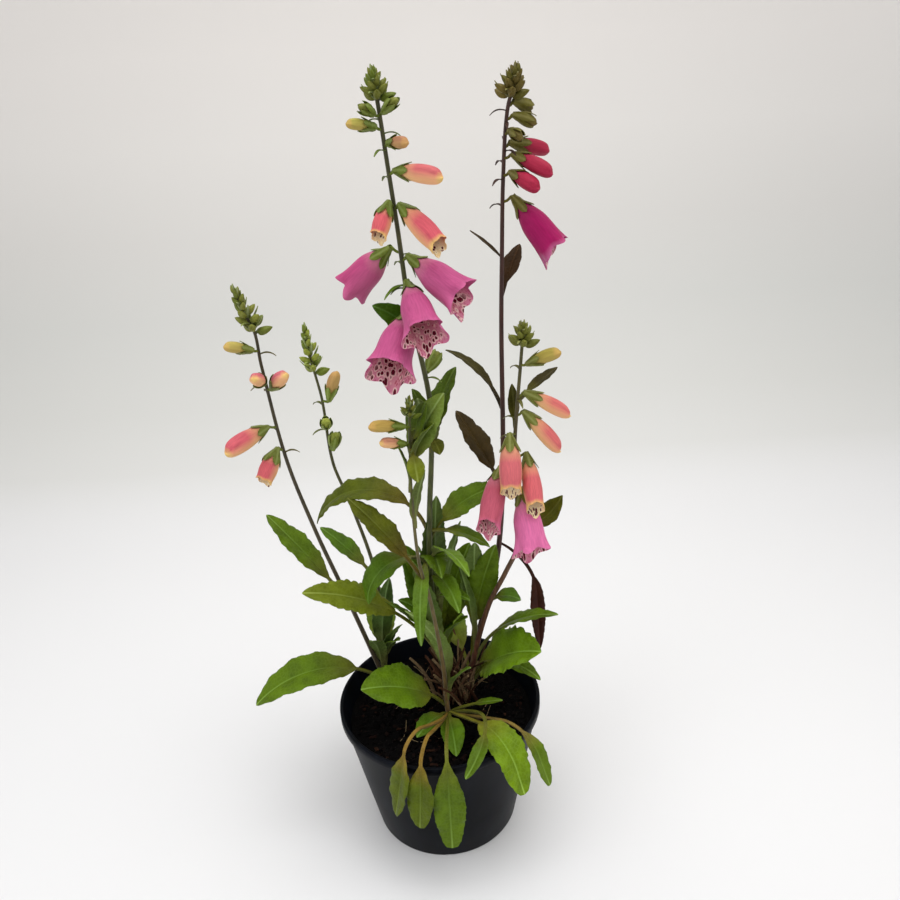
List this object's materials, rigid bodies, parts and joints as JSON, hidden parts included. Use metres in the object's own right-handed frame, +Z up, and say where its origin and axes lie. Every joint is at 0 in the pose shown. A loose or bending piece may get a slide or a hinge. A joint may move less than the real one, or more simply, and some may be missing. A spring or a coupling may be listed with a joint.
{
  "type": "potted foxglove plant",
  "caption": "Foxglove in a round plastic nursery pot of bark mix, with upright spikes of buds and spotted bell flowers above broad toothed leaves.",
  "frame": {"origin": "middle of the pot's flat underside, where it stands", "axes": "+Z up along the pot's axis; -Y is the front, the side that the bells and the draping leaves face; +X to the right"},
  "size_m": [0.2722, 0.228, 0.6124],
  "materials": {
    "pot_plastic": "matt moulded plastic",
    "potting_bark": "damp, crumbly bark and peat",
    "leaf_green": "soft, slightly glossy leaf",
    "dark_foliage": "soft, dark leaf and stem",
    "petal_pink": "silky petal",
    "petal_salmon": "silky petal",
    "petal_crimson": "silky petal",
    "petal_magenta": "silky petal",
    "petal_yellow": "silky petal"
  },
  "bodies": {
    "root": {"bell_centre_10": "petal_pink", "bell_centre_11": "petal_pink", "bell_centre_8": "petal_pink", "bell_centre_9": "petal_pink", "bell_dark_7": "petal_magenta", "bell_short_7": "petal_pink", "bud_centre_3": "petal_yellow", "bud_centre_4": "petal_yellow", "bud_centre_5": "petal_salmon", "bud_dark_4": "petal_crimson", "bud_dark_5": "petal_crimson", "bud_dark_6": "petal_crimson", "bud_left_1": "petal_yellow", "bud_left_2": "petal_salmon", "bud_left_3": "petal_salmon", "bud_left_4": "petal_salmon", "bud_middle_1": "petal_yellow", "bud_middle_2": "petal_salmon", "bud_short_1": "petal_yellow", "bud_short_2": "petal_salmon", "bud_short_3": "petal_salmon", "bud_small_1": "petal_yellow", "pot": "pot_plastic", "shoot_centre": "leaf_green", "shoot_dark": "dark_foliage", "shoot_left": "leaf_green", "shoot_middle": "leaf_green", "shoot_short": "leaf_green", "shoot_small": "leaf_green", "soil": "potting_bark", "tube_centre_6": "petal_salmon", "tube_centre_7": "petal_salmon", "tube_left_5": "petal_salmon", "tube_short_4": "petal_salmon", "tube_short_5": "petal_salmon", "tube_short_6": "petal_salmon"}
  },
  "joints": []
}
